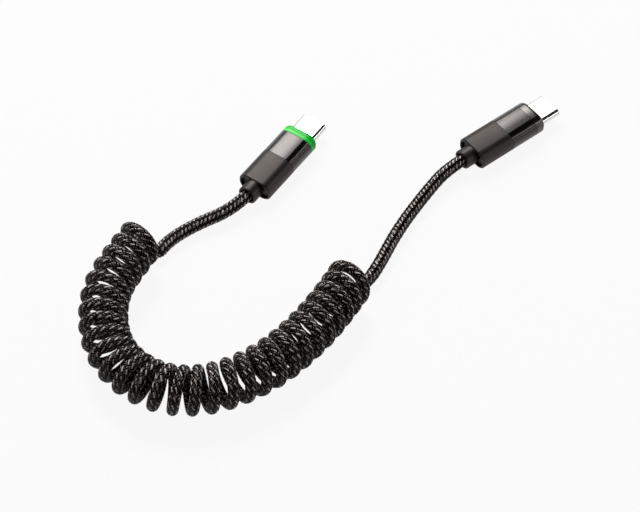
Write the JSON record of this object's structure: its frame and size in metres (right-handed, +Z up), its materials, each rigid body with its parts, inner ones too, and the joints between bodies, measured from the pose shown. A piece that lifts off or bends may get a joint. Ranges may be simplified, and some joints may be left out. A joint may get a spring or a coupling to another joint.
{
  "type": "coiled usb-c cable",
  "caption": "Coiled USB-C to USB-C charging cable: braided cord wound into a spring-like coil between straight leads, a metal-sleeved plug at each end, one plug with a green light ring.",
  "frame": {"origin": "on the surface the cable lies on, at the middle of the box around its two plugs", "axes": "+Z up from that surface, +X along the longer side of the plugs' box, from the lit plug to the plain one, +Y the way the plugs point"},
  "size_m": [0.1365, 0.1149, 0.014],
  "materials": {
    "dark_metal": "satin",
    "smoked_gloss": "gloss",
    "green_light": "glowing translucent",
    "plug_steel": "polished",
    "black_plastic": "matt",
    "contact_gold": "plated",
    "board_green": "solder mask",
    "wire_insulation": "gloss",
    "white_plastic": "matt",
    "cord_braid": "woven"
  },
  "bodies": {
    "root": {"plug_a_collar": "dark_metal", "plug_a_rear_sleeve": "dark_metal", "plug_a_front_sleeve": "smoked_gloss", "plug_a_light_ring": "green_light", "plug_a_shell": "plug_steel", "plug_a_contact_block": "black_plastic", "plug_a_contacts_top": "contact_gold", "plug_a_contacts_bottom": "contact_gold", "plug_a_latch": "plug_steel", "plug_a_board": "board_green", "plug_a_wires": "wire_insulation", "plug_a_inner_mould": "white_plastic", "plug_a_marker_chip": "black_plastic", "plug_a_lamp": "green_light", "plug_b_collar": "dark_metal", "plug_b_rear_sleeve": "dark_metal", "plug_b_front_sleeve": "smoked_gloss", "plug_b_nose_ring": "smoked_gloss", "plug_b_shell": "plug_steel", "plug_b_contact_block": "black_plastic", "plug_b_contacts_top": "contact_gold", "plug_b_contacts_bottom": "contact_gold", "plug_b_latch": "plug_steel", "plug_b_board": "board_green", "plug_b_wires": "wire_insulation", "plug_b_inner_mould": "white_plastic", "plug_b_marker_chip": "black_plastic", "coil": "cord_braid", "lead_a": "cord_braid", "lead_b": "cord_braid"}
  },
  "joints": []
}
